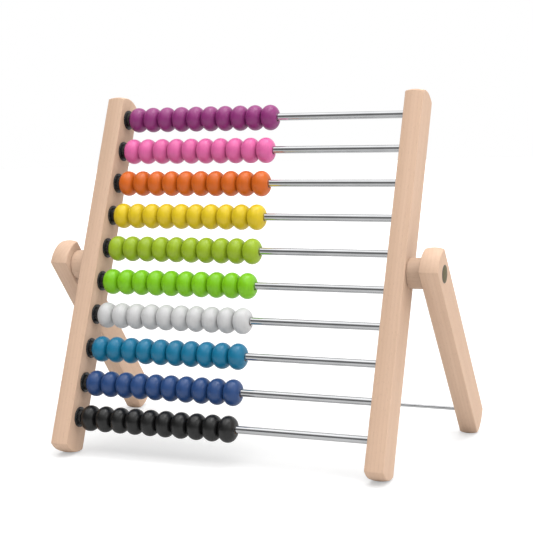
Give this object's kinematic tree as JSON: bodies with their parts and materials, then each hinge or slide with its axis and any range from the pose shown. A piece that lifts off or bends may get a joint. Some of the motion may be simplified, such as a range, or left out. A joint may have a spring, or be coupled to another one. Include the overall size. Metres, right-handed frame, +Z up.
{
  "type": "bead abacus",
  "caption": "Standing counting frame: bead rows on steel rods between two leaning beech posts, propped by two pivoting legs joined by a thin cross-bar.",
  "frame": {"origin": "middle of the footprint, on the surface the object stands on", "axes": "+X to the right of a person facing the beads, along the rods; +Y to the back; +Z up"},
  "size_m": [0.3384, 0.199, 0.2901],
  "materials": {
    "beech": "planed beech under a matt clear oil",
    "polished_steel": "polished bright steel bar",
    "zinc_plated_steel": "zinc plated",
    "olive_bronze": "dull olive-grey plated metal",
    "black_plastic": "moulded, slightly shiny black",
    "bead_purple": "turned wood under satin purple paint",
    "bead_pink": "turned wood under satin pink paint",
    "bead_orange": "turned wood under satin orange paint",
    "bead_yellow": "turned wood under satin yellow paint",
    "bead_lime": "turned wood under satin lime paint",
    "bead_green": "turned wood under satin green paint",
    "bead_white": "turned wood under satin white paint",
    "bead_teal": "turned wood under satin teal paint",
    "bead_navy": "turned wood under satin navy paint",
    "bead_black": "turned wood under satin black paint"
  },
  "bodies": {
    "frame": {"left_post": "beech", "right_post": "beech", "left_spacer_disc": "beech", "right_spacer_disc": "beech", "left_pivot_screw": "zinc_plated_steel", "right_pivot_screw": "zinc_plated_steel", "left_pivot_washer": "zinc_plated_steel", "right_pivot_washer": "zinc_plated_steel", "rod_01": "polished_steel", "collar_01": "black_plastic", "rod_02": "polished_steel", "collar_02": "black_plastic", "rod_03": "polished_steel", "collar_03": "black_plastic", "rod_04": "polished_steel", "collar_04": "black_plastic", "rod_05": "polished_steel", "collar_05": "black_plastic", "rod_06": "polished_steel", "collar_06": "black_plastic", "rod_07": "polished_steel", "collar_07": "black_plastic", "rod_08": "polished_steel", "collar_08": "black_plastic", "rod_09": "polished_steel", "collar_09": "black_plastic", "rod_10": "polished_steel", "collar_10": "black_plastic"},
    "stand": {"left_leg": "beech", "right_leg": "beech", "left_pivot_cap": "olive_bronze", "right_pivot_cap": "olive_bronze", "cross_bar": "polished_steel"},
    "row_01": {"beads_01_purple": "bead_purple"},
    "row_02": {"beads_02_pink": "bead_pink"},
    "row_03": {"beads_03_orange": "bead_orange"},
    "row_04": {"beads_04_yellow": "bead_yellow"},
    "row_05": {"beads_05_lime": "bead_lime"},
    "row_06": {"beads_06_green": "bead_green"},
    "row_07": {"beads_07_white": "bead_white"},
    "row_08": {"beads_08_teal": "bead_teal"},
    "row_09": {"beads_09_navy": "bead_navy"},
    "row_10": {"beads_10_black": "bead_black"}
  },
  "joints": [
    {"name": "stand_swing", "type": "hinge", "parent": "frame", "child": "stand", "pos_m": [0, -0.02539, 0.14926], "axis": [1, 0, 0], "continuous": true},
    {"name": "row_01_slide", "type": "slide", "parent": "frame", "child": "row_01", "axis": [1, 0, 0], "range_m": [0, 0.1112]},
    {"name": "row_02_slide", "type": "slide", "parent": "frame", "child": "row_02", "axis": [1, 0, 0], "range_m": [0, 0.1112]},
    {"name": "row_03_slide", "type": "slide", "parent": "frame", "child": "row_03", "axis": [1, 0, 0], "range_m": [0, 0.1112]},
    {"name": "row_04_slide", "type": "slide", "parent": "frame", "child": "row_04", "axis": [1, 0, 0], "range_m": [0, 0.1112]},
    {"name": "row_05_slide", "type": "slide", "parent": "frame", "child": "row_05", "axis": [1, 0, 0], "range_m": [0, 0.1112]},
    {"name": "row_06_slide", "type": "slide", "parent": "frame", "child": "row_06", "axis": [1, 0, 0], "range_m": [0, 0.1112]},
    {"name": "row_07_slide", "type": "slide", "parent": "frame", "child": "row_07", "axis": [1, 0, 0], "range_m": [0, 0.1112]},
    {"name": "row_08_slide", "type": "slide", "parent": "frame", "child": "row_08", "axis": [1, 0, 0], "range_m": [0, 0.1112]},
    {"name": "row_09_slide", "type": "slide", "parent": "frame", "child": "row_09", "axis": [1, 0, 0], "range_m": [0, 0.1112]},
    {"name": "row_10_slide", "type": "slide", "parent": "frame", "child": "row_10", "axis": [1, 0, 0], "range_m": [0, 0.1112]}
  ]
}
